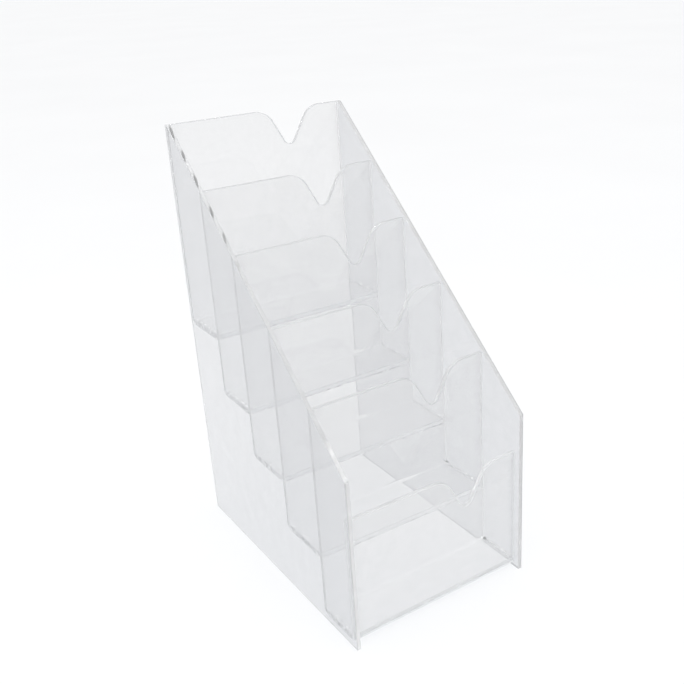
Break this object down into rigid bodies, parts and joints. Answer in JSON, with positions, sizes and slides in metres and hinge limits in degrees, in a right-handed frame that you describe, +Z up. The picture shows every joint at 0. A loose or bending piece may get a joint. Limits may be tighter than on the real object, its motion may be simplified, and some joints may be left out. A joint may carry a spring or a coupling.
{
  "type": "brochure rack",
  "caption": "Clear acrylic brochure rack with stepped leaflet pockets between two slanted side panels, each pocket wall having an off-centre finger notch.",
  "frame": {"origin": "centre of the footprint, on the plane the rack stands on", "axes": "+X to the viewer's right, +Y from the front towards the back, +Z up; the pockets face -Y"},
  "size_m": [0.115, 0.175, 0.253],
  "materials": {
    "side_acrylic": "clear polished cast acrylic",
    "sheet_acrylic": "clear polished cast acrylic, sawn and flame-polished top edge",
    "front_acrylic": "clear polished cast acrylic, sawn and flame-polished top edge",
    "cement": "cured solvent cement with small trapped bubbles"
  },
  "bodies": {
    "root": {"left_side_panel": "side_acrylic", "right_side_panel": "side_acrylic", "back_sheet": "sheet_acrylic", "divider_sheet_1": "sheet_acrylic", "divider_sheet_2": "sheet_acrylic", "divider_sheet_3": "sheet_acrylic", "divider_sheet_4": "sheet_acrylic", "front_panel": "front_acrylic", "left_cement_seams": "cement", "right_cement_seams": "cement", "shelf_front_cement_seams": "cement"}
  },
  "joints": []
}
